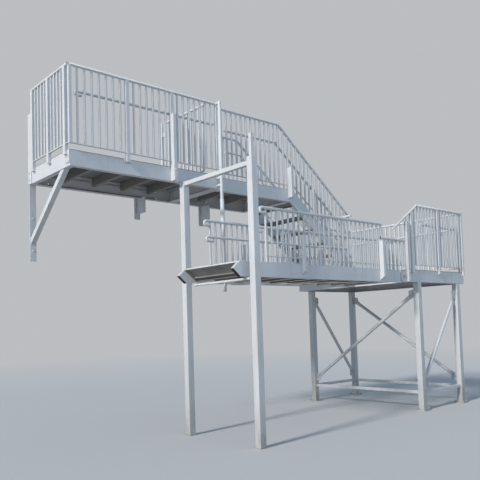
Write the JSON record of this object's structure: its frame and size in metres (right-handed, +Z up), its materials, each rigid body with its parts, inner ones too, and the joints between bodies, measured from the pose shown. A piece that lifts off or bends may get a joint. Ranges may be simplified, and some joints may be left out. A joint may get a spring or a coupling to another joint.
{
  "type": "fire escape stair",
  "caption": "Outside steel escape stair: railed balcony on a wall, fixed upper flight, landing on a braced tower and a hinged lower flight stored level between two posts.",
  "frame": {"origin": "middle of the flat wall face of the balcony's edge channel, halfway along the balcony", "axes": "+X along the wall from the balcony towards the landing, +Y into the wall, +Z up"},
  "size_m": [6.961, 2.84, 4.87],
  "materials": {
    "edge_beams": "satin off-white paint, weathered",
    "joists": "grey paint in shade, dusty",
    "deck_plates": "grey paint, worn by feet",
    "guards": "satin off-white paint, weathered",
    "stanchions": "satin off-white paint, weathered",
    "wall_supports": "off-white paint, dirty",
    "fixed_treads": "grey paint, worn by feet",
    "tower": "satin off-white paint, weathered",
    "goal_frame": "satin off-white paint, weathered",
    "tube": "satin off-white paint",
    "hinge_steel": "pale grey paint over bare bolts",
    "gate": "satin off-white paint, weathered",
    "flight_stringers": "satin off-white paint, weathered",
    "flight_treads": "grey ribbed treads",
    "flight_guards": "satin off-white paint, weathered",
    "flight_bar": "off-white paint"
  },
  "bodies": {
    "stair": {"balcony_frame": "edge_beams", "walkway_frame": "edge_beams", "landing_frame": "edge_beams", "upper_front_stringer": "edge_beams", "upper_wall_stringer": "edge_beams", "balcony_joists": "joists", "walkway_joists": "joists", "landing_joists": "joists", "balcony_deck": "deck_plates", "walkway_deck": "deck_plates", "landing_deck": "deck_plates", "balcony_end_guard": "guards", "balcony_front_guard": "guards", "upper_front_guard": "guards", "upper_wall_guard": "guards", "landing_front_guard": "guards", "landing_end_guard": "guards", "landing_wall_guard": "guards", "landing_divider": "guards", "raking_handrail": "guards", "balcony_stanchions": "stanchions", "upper_stanchions": "stanchions", "strut_wall_leg": "wall_supports", "corner_strut": "wall_supports", "wall_brackets": "wall_supports", "upper_treads": "fixed_treads", "tower_posts": "tower", "tower_braces": "tower", "tower_ties": "tower", "goal_post_inner": "goal_frame", "goal_post_outer": "goal_frame", "goal_crossbar": "goal_frame", "upright_tube": "tube", "hinge_cheeks": "hinge_steel", "gate_post": "gate"},
    "lower_flight": {"lower_near_stringer": "flight_stringers", "lower_far_stringer": "flight_stringers", "hinge_lugs": "hinge_steel", "lower_treads": "flight_treads", "lower_near_guard": "flight_guards", "lower_far_guard": "flight_guards", "foot_bar": "flight_bar", "plan_brace": "flight_stringers"},
    "gate": {"gate_leaf": "gate"}
  },
  "joints": [
    {"name": "flight_hinge", "type": "hinge", "parent": "stair", "child": "lower_flight", "pos_m": [3.889, -2.052, -1.452], "axis": [0, -1, 0], "range_deg": [0, 37.4]},
    {"name": "gate_hinge", "type": "hinge", "parent": "stair", "child": "gate", "pos_m": [1.029, -0.09, 0.106], "axis": [0, 0, 1], "range_deg": [0, 90]}
  ]
}
